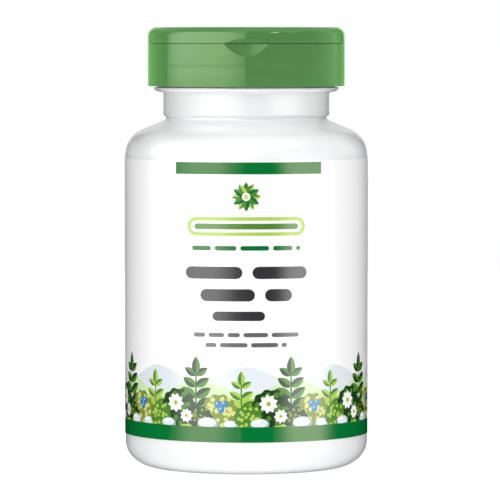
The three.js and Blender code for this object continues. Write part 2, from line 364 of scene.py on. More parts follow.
def block(name, low, high):
    """A box between two corners in millimetres."""
    bm = bmesh.new()
    bmesh.ops.create_cube(bm, size=1.0)
    size = [(b - a) * MM for a, b in zip(low, high)]
    centre = [(b + a) / 2 * MM for a, b in zip(low, high)]
    bm.transform(Matrix.Translation(centre) @ Matrix.Diagonal((*size, 1)))
    return new_object(name, bm)


def rectangle(left, bottom, right, top):
    """The corners of a rectangle, starting at its lower left."""
    return [(left, bottom), (right, bottom), (right, top), (left, top)]


def pill(left, right, middle, height, steps=6):
    """The outline of a flat bar with round ends."""
    radius = height / 2
    points = []
    for centre, start in ((right - radius, -90), (left + radius, 90)):
        for i in range(steps + 1):
            angle = math.radians(start + 180 * i / steps)
            points.append((centre + radius * math.cos(angle), middle + radius * math.sin(angle)))
    return points


def spout_outline(margin):
    """The dispensing hole's outline in millimetres, grown by a margin."""
    radius = SPOUT_R + margin
    half_width = SPOUT_STRAIGHT_HALF + radius
    return pill(-half_width, half_width, SPOUT_Y, 2 * radius, steps=24)


def tube(name, sections):
    """A tube with closed ends through sections, each a ring of points in metres."""
    bm = bmesh.new()
    rings = [[bm.verts.new(point) for point in section] for section in sections]
    for low, high in zip(rings, rings[1:]):
        for i in range(len(low)):
            j = (i + 1) % len(low)
            bm.faces.new((low[i], low[j], high[j], high[i]))
    bm.faces.new(rings[0])
    bm.faces.new(rings[-1])
    bmesh.ops.recalc_face_normals(bm, faces=bm.faces)
    return new_object(name, bm)


def raised(name, outline, from_z, to_z):
    """An outline in millimetres raised from one height to another."""
    return tube(name, [[(x * MM, y * MM, z * MM) for x, y in outline] for z in (from_z, to_z)])


def rod(name, path, radius, steps=16):
    """A round rod that follows a path of (x, z) points in the plane y = HINGE_Y."""
    sections = []
    for i, (x, z) in enumerate(path):
        before, after = path[max(i - 1, 0)], path[min(i + 1, len(path) - 1)]
        along = Vector((after[0] - before[0], 0, after[1] - before[1])).normalized()
        across = Vector((along.z, 0, -along.x))
        middle = Vector((x, HINGE_Y, z))
        section = []
        for j in range(steps):
            angle = 2 * math.pi * j / steps
            aside, back = across * radius * math.cos(angle), Vector((0, radius * math.sin(angle), 0))
            section.append((middle + aside + back) * MM)
        sections.append(section)
    return tube(name, sections)


def apply_modifier(obj, modifier):
    """Makes the modifier's result the object's own mesh."""
    bpy.context.view_layer.objects.active = obj
    with bpy.context.temp_override(object=obj, active_object=obj):
        bpy.ops.object.modifier_apply(modifier=modifier.name)


def combine(obj, other, operation):
    """Joins other to obj or cuts it away, and removes it."""
    modifier = obj.modifiers.new(operation, "BOOLEAN")
    modifier.operation = operation
    modifier.solver = "MANIFOLD"
    modifier.object = other
    apply_modifier(obj, modifier)
    bpy.data.objects.remove(other)


def thread_ridge(name, root_r, crest_r, start_z, start_angle):
    """A helical ridge that stands out from root_r to crest_r and fades at both ends."""
    steps = round(THREAD_TURNS * SEGMENTS)
    fade_steps = int(THREAD_FADE_TURNS * SEGMENTS)
    foot_r = root_r - math.copysign(THREAD_SINK, crest_r - root_r)
    sections = []
    for i in range(steps + 1):
        angle = start_angle + 2 * math.pi * i / SEGMENTS
        z = start_z + PITCH * i / SEGMENTS
        fade = min(1, (i + 1) / fade_steps, (steps - i + 1) / fade_steps)
        top_r = root_r + (crest_r - root_r) * math.sin(fade * math.pi / 2)
        flank_r = root_r + (top_r - root_r) * THREAD_FLANK_SHARE
        outline = (
            (foot_r, z - THREAD_ROOT_HALF),
            (flank_r, z - THREAD_CREST_HALF - THREAD_FLANK_OUT),
            (top_r, z - THREAD_CREST_HALF * THREAD_FLAT_SHARE),
            (top_r, z + THREAD_CREST_HALF * THREAD_FLAT_SHARE),
            (flank_r, z + THREAD_CREST_HALF + THREAD_FLANK_OUT),
            (foot_r, z + THREAD_ROOT_HALF),
        )
        sections.append([round_z(r, angle, height) for r, height in outline])
    return tube(name, sections)


def smooth(obj, degrees=SHARP_DEGREES):
    """Shades obj smoothly, apart from edges that turn by more than that."""
    obj.data.shade_smooth()
    obj.data.set_sharp_from_angle(angle=math.radians(degrees))


def finish_piece(obj, material, body, node, bevel=0.0):
    """Shades obj smoothly between its sharp edges, rounds the squarest and takes node's place."""
    obj.data.materials.clear()
    obj.data.materials.append(material)
    smooth(obj)
    if bevel:
        modifier = obj.modifiers.new("soft_edges", "BEVEL")
        modifier.width = bevel * MM
        modifier.segments = BEVEL_SEGMENTS
        modifier.limit_method = "ANGLE"
        modifier.angle_limit = math.radians(BEVEL_DEGREES)
        modifier.harden_normals = True
        apply_modifier(obj, modifier)
    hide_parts(node)
    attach(obj, body)


# ---- Bottle ----


def shoulder(offset, neck_r, steps):
    """The straight side's top, rolled over into a cone that meets the neck."""
    centre_r, arc_r = BODY_R - SHOULDER_ARC_R, SHOULDER_ARC_R - offset
    end = 90 - math.degrees(SHOULDER_SLOPE)
    curve = arc(centre_r, SHOULDER_ARC_START_Z, arc_r, arc_r, 0, end, steps)
    cone_r, cone_z = curve[-1]
    return curve + [(neck_r, cone_z + (cone_r - neck_r) * math.tan(SHOULDER_SLOPE))]


def base_corner(offset, steps):
    """The corner between the base and the straight side, from the base up."""
    run, rise = BASE_CORNER_RUN - offset, BASE_CORNER_RISE - offset
    return arc(BODY_R - BASE_CORNER_RUN, BASE_CORNER_RISE, run, rise, -90, 0, steps)


def neck_profile(start, foot):
    """The neck from its foot up over the rim and down its bore: (r, z, fillet radius)."""
    return filleted([
        start,
        (*foot, 0.4),
        (GROOVE_R, GROOVE_Z - GROOVE_HALF, 0.3),
        (GROOVE_R, GROOVE_Z + GROOVE_HALF, 0.25),
        (COLLAR_R, GROOVE_Z + COLLAR_ABOVE_GROOVE, 0.5),
        (COLLAR_R, BEAD_BOTTOM_Z, 0.35),
        (BEAD_R - BEAD_CHAMFER_RUN, BEAD_BOTTOM_Z + BEAD_CHAMFER_START, 0.3),
        (BEAD_R, BEAD_BOTTOM_Z + BEAD_CHAMFER_END, 0.5),
        (BEAD_R, BEAD_TOP_Z - BEAD_TOP_SLOPE, 0.15),
        (FINISH_R, BEAD_TOP_Z, 0.3),
        (FINISH_R, RIM_Z, 0.5),
        (BORE_R, RIM_Z, 0.35),
        (BORE_R, GROOVE_Z + BORE_ABOVE_GROOVE, 1.0),
        (NECK_FOOT_BORE_R, GROOVE_Z + NECK_FOOT_ABOVE_GROOVE, 0.8),
    ])[1:]


def make_bottle():
    ring_outer_r = BODY_R - BASE_CORNER_RUN
    ring_inner_r = ring_outer_r - CONTACT_RING_WIDTH
    dome = []
    for i in range(DOME_STEPS + 1):
        share = i / DOME_STEPS
        dome.append((ring_inner_r * share, PUSH_UP * (1 - share ** PUSH_UP_POWER)))
    outer_shoulder = shoulder(0, COLLAR_R, OUTER_ARC_STEPS)
    neck_foot = outer_shoulder.pop()
    neck = neck_profile(outer_shoulder[-1], neck_foot)
    inner_shoulder = shoulder(WALL, NECK_FOOT_BORE_R, INNER_ARC_STEPS)[::-1]
    bend = (ring_outer_r * FLOOR_BEND_R_SHARE, PUSH_UP * FLOOR_BEND_RISE_SHARE + WALL)
    floor = [bend, (0, PUSH_UP + WALL)]
    outside = dome + base_corner(0, OUTER_ARC_STEPS) + outer_shoulder
    inside = inner_shoulder + base_corner(WALL, INNER_ARC_STEPS)[::-1] + floor
    bottle = turned("bottle_moulding", outside + neck + inside)
    ridge = thread_ridge("neck_thread", FINISH_R, NECK_THREAD_R, NECK_THREAD_START_Z, 0)
    combine(bottle, ridge, "UNION")
    finish_piece(bottle, bottle_plastic(), "bottle", "bottle")


# ---- Closure ----

# Cutting blocks reach this far, which is past the closure on every side.
REACH = CLOSURE_R + 5
# A part that is joined to another starts this far inside it.
FUSE = 0.5
# A face is on the outside if the point this far in front of it is past the closure.
PROBE = 1.0


def top_edge():
    """The closure's rounded top edge, from its side up and inwards."""
    centre_r, centre_z = CLOSURE_R - CLOSURE_EDGE_R, CLOSURE_TOP_Z - CLOSURE_EDGE_R
    return arc(centre_r, centre_z, CLOSURE_EDGE_R, CLOSURE_EDGE_R, 0, 90, EDGE_STEPS)


def sink_mark(steps=12):
    """The faint hollow round the skirt, where the thicker land shrinks behind it."""
    points = []
    for i in range(steps + 1):
        across = 2 * i / steps - 1
        depth = SINK_DEPTH * (1 + math.cos(math.pi * across)) / 2
        points.append((CLOSURE_R - depth, SINK_Z + SINK_HALF * across))
    return points


def dish(deep_z, end_z):
    """A bar whose gently bulging side dishes the closure's front, deepest at deep_z."""
    half = DISH_HALF_WIDTH
    outline = [(half, -half), (-half, -half)]
    for i in range(DISH_STEPS + 1):
        x = -half + 2 * half * i / DISH_STEPS
        outline.append((x, math.sqrt(DISH_R ** 2 - x ** 2) - DISH_R))
    bar = raised("dish", outline, -half / 2, half / 2)
    lean = Matrix.Rotation(math.atan(NOTCH_INSET / (end_z - deep_z)), 4, "X")
    middle = (0, (NOTCH_INSET / 2 - CLOSURE_R) * MM, (deep_z + end_z) / 2 * MM)
    bar.data.transform(Matrix.Translation(middle) @ lean)
    return bar


def hinge_groove():
    """A rod over the closure where the lid meets the step, which rounds off both edges there."""
    outline = [(CLOSURE_R, DECK_TOP_Z + HINGE_GROOVE_R / 2)] + top_edge()
    right = [(math.sqrt(r ** 2 - HINGE_Y ** 2), z) for r, z in outline]
    left = [(-x, z) for x, z in reversed(right)]
    return rod("hinge_groove", right + left, HINGE_GROOVE_R)


def keep_slice(obj, front_y, back_y, top_z):
    """Cuts away all of obj that isn't between front_y and back_y and below top_z."""
    combine(obj, block("slice", (-REACH, front_y, 0), (REACH, back_y, top_z)), "INTERSECT")


def finish_closure(obj, body, node, polished, satin):
    """Polishes the faces on the closed closure's outside, and leaves the rest satin."""
    finish_piece(obj, polished, body, node, bevel=CLOSURE_BEVEL)
    obj.data.materials.append(satin)
    for face in obj.data.polygons:
        probe = face.center / MM + face.normal * PROBE
        if math.hypot(probe.x, probe.y) < CLOSURE_R and CLOSURE_BOTTOM_Z < probe.z < CLOSURE_TOP_Z:
            face.material_index = 1


def closure_shell(skirt_inner_r, ceiling_z):
    """The skirt and top turned in one, with the lid's place cut out of them."""
    taper_top_z = DECK_BOTTOM_Z - LAND_HEIGHT
    inside = filleted([
        (0, ceiling_z),
        (LAND_INNER_R, ceiling_z, 0.5),
        (LAND_INNER_R, DECK_BOTTOM_Z, 0.2),
        (LAND_OUTER_R, DECK_BOTTOM_Z, 0.2),
        (LAND_OUTER_R, taper_top_z, 0.2),
        (skirt_inner_r, taper_top_z - LAND_TAPER, 0.3),
        (skirt_inner_r, CLOSURE_BOTTOM_Z, 0.3),
        (CLOSURE_R, CLOSURE_BOTTOM_Z),
        (CLOSURE_R, CLOSURE_BOTTOM_Z + WALL_LINE_ABOVE),
    ])
    profile = top_edge() + [(0, CLOSURE_TOP_Z)] + inside + sink_mark()
    shell = turned("closure_moulding", profile, closed=True)
    low, high = (-REACH, -REACH, DECK_TOP_Z), (REACH, STEP_FRONT_Y, CLOSURE_TOP_Z + REACH)
    combine(shell, block("lid_space", low, high), "DIFFERENCE")
    return shell


def add_deck(shell, ceiling_z):
    """Joins the deck, the step behind the lid and the low wall round the deck to the shell."""
    step_back_y = STEP_FRONT_Y + STEP_WALL
    filler = rectangle(0, DECK_BOTTOM_Z, LAND_INNER_R + FUSE, ceiling_z + FUSE)
    deck = turned("deck", filler)
    keep_slice(deck, -REACH, step_back_y, DECK_TOP_Z)
    step = turned("step", filler)
    keep_slice(step, STEP_FRONT_Y, step_back_y, CLOSURE_TOP_Z)
    upstand_inner_r = UPSTAND_R - UPSTAND_WALL
    upstand = turned("upstand", filleted([
        (upstand_inner_r, DECK_TOP_Z - FUSE),
        (UPSTAND_R, DECK_TOP_Z - FUSE),
        (UPSTAND_R, DECK_TOP_Z + UPSTAND_RISE, 0.3),
        (upstand_inner_r, DECK_TOP_Z + UPSTAND_RISE, 0.2),
    ]), closed=True)
    keep_slice(upstand, -REACH, STEP_FRONT_Y + FUSE, CLOSURE_TOP_Z)
    for part in (deck, step, upstand):
        combine(shell, part, "UNION")


def make_closure_body(polished, satin):
    skirt_inner_r = CLOSURE_R - SKIRT_WALL
    ceiling_z = CLOSURE_TOP_Z - TOP_PLATE
    shell = closure_shell(skirt_inner_r, ceiling_z)
    add_deck(shell, ceiling_z)
    rim_top_z = DECK_TOP_Z + SPOUT_RIM_RISE
    rim = raised("spout_rim", spout_outline(SPOUT_RIM_WALL), DECK_BOTTOM_Z, rim_top_z)
    combine(shell, rim, "UNION")
    hole = raised("spout_hole", spout_outline(0), CLOSURE_BOTTOM_Z, CLOSURE_TOP_Z)
    combine(shell, hole, "DIFFERENCE")
    combine(shell, dish(DECK_TOP_Z, DECK_TOP_Z - NOTCH_BELOW), "DIFFERENCE")
    combine(shell, hinge_groove(), "DIFFERENCE")
    thread_z = NECK_THREAD_START_Z + PITCH * CLOSURE_THREAD_ANGLE / (2 * math.pi)
    ridge = thread_ridge(
        "closure_thread", skirt_inner_r, CLOSURE_THREAD_R,
        thread_z - CLOSURE_THREAD_BELOW, CLOSURE_THREAD_ANGLE,
    )
    combine(shell, ridge, "UNION")
    finish_closure(shell, "closure", "closure_body", polished, satin)


def make_closure_lid(polished, satin):
    inner_r = CLOSURE_R - LID_WALL
    ceiling_z = CLOSURE_TOP_Z - LID_TOP_PLATE
    inside = filleted([
        (0, ceiling_z),
        (inner_r, ceiling_z, 1.1),
        (inner_r, LID_BOTTOM_Z, 0.15),
        (CLOSURE_R, LID_BOTTOM_Z),
        (CLOSURE_R, LID_BOTTOM_Z + WALL_LINE_ABOVE),
    ])
    shell = turned("lid_moulding", top_edge() + [(0, CLOSURE_TOP_Z)] + inside, closed=True)
    keep_slice(shell, -REACH, LID_BACK_Y, CLOSURE_TOP_Z + REACH)
    plug = raised("plug", spout_outline(-PLUG_CLEARANCE), PLUG_BOTTOM_Z, ceiling_z + FUSE)
    combine(shell, plug, "UNION")
    hollow_outline = spout_outline(-PLUG_CLEARANCE - PLUG_WALL)
    hollow = raised("plug_hollow", hollow_outline, CLOSURE_BOTTOM_Z, ceiling_z)
    combine(shell, hollow, "DIFFERENCE")
    combine(shell, dish(LID_BOTTOM_Z, LID_BOTTOM_Z + NOTCH_ABOVE), "DIFFERENCE")
    combine(shell, hinge_groove(), "DIFFERENCE")
    finish_closure(shell, "lid", "closure_lid", polished, satin)


def make_hinge_web(satin, steps=24):
    """The thin web that joins the lid to the step."""
    top_z, half = CLOSURE_TOP_Z - WEB_SINK, WEB_LENGTH / 2
    bottom_z = top_z - WEB_THICKNESS
    corners = ((-half, top_z), (-half, bottom_z), (half, bottom_z), (half, top_z))
    sections = []
    for i in range(steps + 1):
        y = HINGE_Y + WEB_WIDTH * (i / steps - 0.5)
        sections.append([Vector((x, y, z)) * MM for x, z in corners])
    web = tube("hinge_web", sections)
    web.data.materials.append(satin)
    smooth(web)
    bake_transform(web)


def make_sealing_ring():
    low_z, high_z = RIM_Z + RING_GAP, DECK_BOTTOM_Z - RING_GAP
    corners = rectangle(RING_INNER_R, low_z, RING_OUTER_R, high_z)
    profile = filleted([(*corner, RING_FILLET) for corner in corners])
    ring = turned("foam_ring", profile, closed=True)
    finish_piece(ring, ring_foam(), "ring", "sealing_ring")


# ---- Label artwork: flat shapes in (s, z), s along the label from the front's middle ----

LABEL_HALF = math.pi * LABEL_R
GOLDEN_ANGLE = math.pi * (3 - math.sqrt(5))
# Points nearer than this are one point, and the label's ends are found to within OVERHANG.
MERGE_DISTANCE, OVERHANG = 1e-5, 1e-4
LABEL_SHARP_DEGREES = 40

BAND_HEIGHT = 4.3
BAR_LEFT, BAR_RIGHT, BAR_TOP_GAP, BAR_HEIGHT = -20.7, 22.3, 0.4, 3.3
ROSETTE_Z, ROSETTE_PETALS, PETAL_LENGTH, PETAL_WIDTH = 77.6, 12, 4.1, 1.9
ROSETTE_MIDDLE = (("film", 1.15), ("ink_straw", 0.75))

# The front's framed bar: ink, half its width and its height.
FRAME_Z = 69.4
FRAME_BARS = (("ink_lime", 17, 5.2), ("film", 15.9, 3.2), ("ink_leaf", 14.8, 1.6))

# The front's lines of plain bars: ink, half the width, z and height.
FRONT_SEED = 11
FRONT_LINES = (
    ("ink_green", 15.5, 63.4, 1.3),
    ("ink_charcoal", 17.5, 56.6, 3.4),
    ("ink_charcoal", 13, 50.4, 3.4),
    ("ink_charcoal", 9.5, 44.6, 2.6),
    ("ink_grey", 15, 39.4, 1.2),
    ("ink_grey", 11.5, 36.6, 1.2),
)

PANEL_MIDDLE, PANEL_HALF = 79.0, 19.0
PANEL_RULE_BOTTOM_Z, PANEL_RULE_TOP_Z = 80.2, 80.7
HEADING_Z, HEADING_HEIGHT, HEADING_PAST_MIDDLE = 77.6, 1.6, 4
PRINT_TOP_Z, PRINT_LINES, PRINT_PITCH, PRINT_HEIGHT, PRINT_RAGGED = 74.4, 6, 1.75, 0.75, 7
TABLE_GAP, TABLE_ROWS, ROW_HEIGHT, RULE_HALF, CELL_PRINT_HEIGHT = 0.6, 6, 3.0, 0.12, 0.85
CELL_MARGIN, AMOUNT_WIDTH = 1, 9

# The frieze repeats round the foot. A place in it is a share of a repeat's width from its
# middle and, for what doesn't stand on the band, a height above the band.
REPEATS, HILL_STEPS, FRIEZE_SEED = 8, 96, 23
# Hills: ink, mean height, swing and phase.
HILLS = (
    ("ink_mist", 14.5, 2.2, 0.0),
    ("ink_pale_green", 11.0, 2.0, 0.5),
    ("ink_lime", 6.5, 1.4, 0.0),
)
# Sprigs: place, height, pairs of leaves and inks.
SPRIGS = (
    (-0.03, 19.5, 5, ("ink_forest", "ink_leaf")),
    (0.45, 15.5, 4, ("ink_leaf", "ink_lime")),
)
# Bushes: place, radius and inks.
BUSHES = (
    (-0.24, 5.2, 5.6, ("ink_forest", "ink_leaf")),
    (0.22, 4.4, 5.0, ("ink_olive", "ink_straw")),
    (-0.48, 2.6, 3.8, ("ink_leaf", "ink_lime")),
    (0.02, 2.2, 3.6, ("ink_forest", "ink_olive")),
)
# Daisies and berries: place and radius. Pebbles: place and half the width.
DAISIES = ((-0.27, 6.4, 2.7), (-0.14, 2.9, 2.0))
BERRIES = (0.24, 6.2, 0.95)
PEBBLES = ((0.1, 2.9), (0.34, 2.3), (-0.36, 2.6))
PEBBLE_SIZES, PEBBLE_MIDDLE, PEBBLE_FLATNESS = (0.9, 1.1), 0.3, 0.58
# A pebble's body, paler top and highlight: ink, then shift to the left and up and width and
# height as shares of the pebble's own.
PEBBLE_TONES = (
    ("ink_stone", 0.0, 0.0, 1.0, 1.0),
    ("ink_mist", 0.08, 0.14, 0.86, 0.78),
    ("film", 0.28, 0.4, 0.38, 0.26),
)

# Each ink's colour, roughness and, where it isn't white, the tint of its gloss.
INKS = {
    "film": ((0.9, 0.905, 0.9), 0.3),
    "ink_green": ((0.0, 0.172, 0.034), 0.09, (1.0, 0.88, 0.68)),
    "ink_forest": ((0.012, 0.062, 0.012), 0.16),
    "ink_leaf": ((0.075, 0.23, 0.022), 0.16),
    "ink_olive": ((0.2, 0.27, 0.028), 0.16),
    "ink_lime": ((0.38, 0.56, 0.08), 0.18),
    "ink_straw": ((0.6, 0.62, 0.2), 0.18),
    "ink_pale_green": ((0.6, 0.75, 0.45), 0.2),
    "ink_mist": ((0.68, 0.74, 0.78), 0.2),
    "ink_stone": ((0.32, 0.38, 0.39), 0.2),
    "ink_blue": ((0.02, 0.2, 0.46), 0.15),
    "ink_sky": ((0.28, 0.58, 0.82), 0.16),
    "ink_charcoal": ((0.035, 0.035, 0.038), 0.16),
    "ink_grey": ((0.12, 0.12, 0.125), 0.18),
}


def oval(s, z, half_width, half_height, ruffle=0.0, ruffles=0, steps=24):
    """An ellipse, whose edge may be ruffled by a share of its size."""
    points = []
    for i in range(steps):
        angle = 2 * math.pi * i / steps
        grow = 1 + ruffle * math.sin(ruffles * angle)
        across, up = half_width * grow * math.cos(angle), half_height * grow * math.sin(angle)
        points.append((s + across, z + up))
    return points


def disc(s, z, radius, steps=16):
    return oval(s, z, radius, radius, steps=steps)


def leaf_half(s, z, length, width, lean, side, steps):
    """Half of a pointed leaf that grows from (s, z); lean is its angle from upright."""
    widest_low, fullness = 0.85, 0.8
    points = []
    for i in range(steps + 1):
        t = i / steps
        bulge = width / 2 * math.sin(math.pi * t ** widest_low) ** fullness * side
        points.append((bulge, length * t))
    cos, sin = math.cos(lean), math.sin(lean)
    return [(s + x * cos + y * sin, z - x * sin + y * cos) for x, y in points]


class Artwork:
    """Shapes in painting order, each with its ink."""

    def __init__(self):
        self.shapes = []

    def add(self, ink, points):
        self.shapes.append((ink, points))

    def painted(self, flat, triangles):
        """The ink of each triangle: that of the last shape that holds its middle, if any does."""
        corners = np.array([[flat[i][:] for i in triangle] for triangle in triangles])
        middle_s, middle_z = corners.mean(axis=1).T
        inks = np.full(len(triangles), None, dtype=object)
        for ink, points in self.shapes:
            outline = np.array(points)
            low, high = outline.min(axis=0), outline.max(axis=0)
            near = (middle_s > low[0]) & (middle_s < high[0])
            near &= (middle_z > low[1]) & (middle_z < high[1])
            inside = np.zeros(near.sum(), dtype=bool)
            s, z = middle_s[near], middle_z[near]
            for (s0, z0), (s1, z1) in zip(outline, np.roll(outline, -1, axis=0)):
                if z0 == z1:
                    continue
                crosses = (z0 > z) != (z1 > z)
                inside ^= crosses & (s < (s1 - s0) * (z - z0) / (z1 - z0) + s0)
            inks[np.flatnonzero(near)[inside]] = ink
        return inks

    def leaf(self, s, z, length, width, lean, inks, steps=8):
        """A pointed leaf with an ink for either half."""
        for side, ink in zip((-1, 1), inks):
            self.add(ink, leaf_half(s, z, length, width, lean, side, steps))

    def sprig(self, s, z, height, pairs, inks):
        """An upright stem with pairs of oval leaves and one at its tip."""
        stem_half, stem_height = 0.22, height * 0.85
        leaf_length, shrink, width_share = height * 0.34, 0.45, 0.52
        tip_z, tip_length, tip_width = z + height * 0.74, height * 0.26, height * 0.13
        self.add(inks[0], rectangle(s - stem_half, z, s + stem_half, z + stem_height))
        for i in range(pairs):
            t = (i + 0.6) / (pairs + 0.4)
            length = leaf_length * (1 - shrink * t)
            for lean in (-58, 58):
                width = length * width_share
                self.leaf(s, z + stem_height * t, length, width, math.radians(lean), inks)
        self.leaf(s, tip_z, tip_length, tip_width, 0, inks)

    def bush(self, s, z, radius, inks, rng):
        """A round ruffled bush, dotted with short leaves that lean outwards."""
        ground, light = inks
        ruffle, ruffles, squash = 0.05, 11, 0.92
        leaves, spread, jitter, width_share, lean_share = 20, 0.82, 0.2, 0.9, 0.35
        shortest, longest = 0.26, 0.34
        self.add(ground, oval(s, z, radius, radius * squash, ruffle, ruffles, steps=6 * ruffles))
        for i in range(leaves):
            share = math.sqrt((i + 0.5) / leaves) * spread
            angle = i * GOLDEN_ANGLE + rng.uniform(-jitter, jitter)
            foot_s, foot_z = s + radius * share * math.sin(angle), z + radius * share * math.cos(angle)
            length = radius * rng.uniform(shortest, longest)
            width, lean = length * width_share, angle * lean_share
            for side in (1, -1):
                self.add(light, leaf_half(foot_s, foot_z, length, width, lean, side, steps=5))

    def daisy(self, s, z, radius, turn):
        """White petals round a yellow middle."""
        petals, width_share, middle_share, dot_share = 9, 0.62, 0.3, 0.14
        for i in range(petals):
            lean = turn + 2 * math.pi * i / petals
            self.leaf(s, z, radius, radius * width_share, lean, ("film", "film"), steps=6)
        self.add("ink_straw", disc(s, z, radius * middle_share))
        self.add("ink_olive", disc(s, z, radius * dot_share, steps=10))

    def berries(self, s, z, radius):
        """Three berries, each with a light spot, placed in berry radii from (s, z)."""
        spot_share, spot_left, spot_up = 0.34, 0.3, 0.32
        for off_s, off_z in ((-1.0, 0.0), (1.0, 0.15), (0.05, -1.5)):
            berry_s, berry_z = s + off_s * radius, z + off_z * radius
            spot_s, spot_z = berry_s - radius * spot_left, berry_z + radius * spot_up
            self.add("ink_blue", disc(berry_s, berry_z, radius))
            self.add("ink_sky", disc(spot_s, spot_z, radius * spot_share, steps=10))

    def pebble(self, s, z, half_width, half_height):
        """A grey oval with a paler top and a highlight."""
        for ink, left, up, width, height in PEBBLE_TONES:
            centre_s, centre_z = s - half_width * left, z + half_height * up
            self.add(ink, oval(centre_s, centre_z, half_width * width, half_height * height))

    def words(self, ink, left, right, z, height, rng):
        """A line of plain bars, where words would be. Lengths and gaps are in heights."""
        shortest, longest, least_left, gap = 2.5, 6.5, 1.6, 0.8
        s = left
        while s < right - height:
            end = min(right, s + height * rng.uniform(shortest, longest))
            if right - end < height * least_left:
                end = right
            self.add(ink, pill(s, end, z, height))
            s = end + height * gap


def draw_front(art):
    """The front panel: a bar, a rosette, and plain bars where the words would be."""
    top = LABEL_TOP_Z - BAR_TOP_GAP
    art.add("ink_green", rectangle(BAR_LEFT, top - BAR_HEIGHT, BAR_RIGHT, top))
    for i in range(ROSETTE_PETALS):
        lean = 2 * math.pi * i / ROSETTE_PETALS
        inks = ("ink_leaf", "ink_lime") if i % 2 else ("ink_green", "ink_leaf")
        art.leaf(0, ROSETTE_Z, PETAL_LENGTH, PETAL_WIDTH, lean, inks)
    for ink, radius in ROSETTE_MIDDLE:
        art.add(ink, disc(0, ROSETTE_Z, radius))
    for ink, half_width, height in FRAME_BARS:
        art.add(ink, pill(-half_width, half_width, FRAME_Z, height))
    rng = random.Random(FRONT_SEED)
    for ink, half_width, z, height in FRONT_LINES:
        art.words(ink, -half_width, half_width, z, height, rng)


def draw_panel(art, middle, seed):
    """A side panel: a heading, lines where words would be, and an empty ruled table."""
    rng = random.Random(seed)
    left, right = middle - PANEL_HALF, middle + PANEL_HALF
    art.add("ink_green", rectangle(left, PANEL_RULE_BOTTOM_Z, right, PANEL_RULE_TOP_Z))
    art.words("ink_green", left, middle + HEADING_PAST_MIDDLE, HEADING_Z, HEADING_HEIGHT, rng)
    z = PRINT_TOP_Z
    for _ in range(PRINT_LINES):
        art.words("ink_grey", left, right - rng.uniform(0, PRINT_RAGGED), z, PRINT_HEIGHT, rng)
        z -= PRINT_PITCH
    table_top = z - TABLE_GAP
    cells = (
        ("ink_charcoal", left + CELL_MARGIN, middle - CELL_MARGIN),
        ("ink_grey", right - AMOUNT_WIDTH, right - CELL_MARGIN),
    )
    for row in range(TABLE_ROWS + 1):
        rule = table_top - row * ROW_HEIGHT
        art.add("ink_green", rectangle(left, rule - RULE_HALF, right, rule + RULE_HALF))
        if row < TABLE_ROWS:
            for ink, start, end in cells:
                art.words(ink, start, end, rule - ROW_HEIGHT / 2, CELL_PRINT_HEIGHT, rng)


def draw_frieze(art):
    """A frieze round the foot: far mounds, bushes, sprigs, daisies, berries and pebbles."""
    rng = random.Random(FRIEZE_SEED)
    band_top = LABEL_BOTTOM_Z + BAND_HEIGHT
    step = 2 * LABEL_HALF / REPEATS
    for ink, base, swing, phase in HILLS:
        outline = [(-LABEL_HALF, band_top), (LABEL_HALF, band_top)]
        for i in range(HILL_STEPS + 1):
            s = LABEL_HALF - 2 * LABEL_HALF * i / HILL_STEPS
            wave = math.cos(2 * math.pi * (s / step + phase))
            outline.append((s, band_top + base + swing * wave))
        art.add(ink, outline)
    for i in range(REPEATS):
        middle = -LABEL_HALF + step * (i + 0.5)
        for share, height, pairs, inks in SPRIGS:
            art.sprig(middle + step * share, band_top, height, pairs, inks)
        for share, up, radius, inks in BUSHES:
            art.bush(middle + step * share, band_top + up, radius, inks, rng)
        for share, up, radius in DAISIES:
            art.daisy(middle + step * share, band_top + up, radius, rng.uniform(0, 1))
        share, up, radius = BERRIES
        art.berries(middle + step * share, band_top + up, radius)
        for share, half_width in PEBBLES:
            size = half_width * rng.uniform(*PEBBLE_SIZES)
            z = band_top + size * PEBBLE_MIDDLE
            art.pebble(middle + step * share, z, size, size * PEBBLE_FLATNESS)
    art.add("ink_green", rectangle(-LABEL_HALF, LABEL_BOTTOM_Z, LABEL_HALF, band_top))


def triangulated(shapes):
    """Flat points and triangles that follow every outline and bend finely enough to wrap."""
    places, edges = [], []
    for _, points in shapes:
        first = len(places)
        places.extend(Vector(p) for p in points)
        edges += [(first + i, first + (i + 1) % len(points)) for i in range(len(points))]
    for i in range(1, SEGMENTS):
        s = -LABEL_HALF + 2 * LABEL_HALF * i / SEGMENTS
        edges.append((len(places), len(places) + 1))
        places += [Vector((s, LABEL_BOTTOM_Z)), Vector((s, LABEL_TOP_Z))]
    flat, _, triangles, *_ = delaunay_2d_cdt(places, edges, [], 0, MERGE_DISTANCE)
    return flat, triangles


def wrapped(s, z):
    """A flat point's place round the bottle, where the label's end laps over its start."""
    t = max(0.0, (s - LABEL_HALF + LABEL_LAP) / LABEL_LAP)
    r = LABEL_R + LABEL_LAP_RISE * min(1.0, t * LABEL_LAP_RAMPS)
    return round_z(r, s / LABEL_R - math.pi / 2, z)


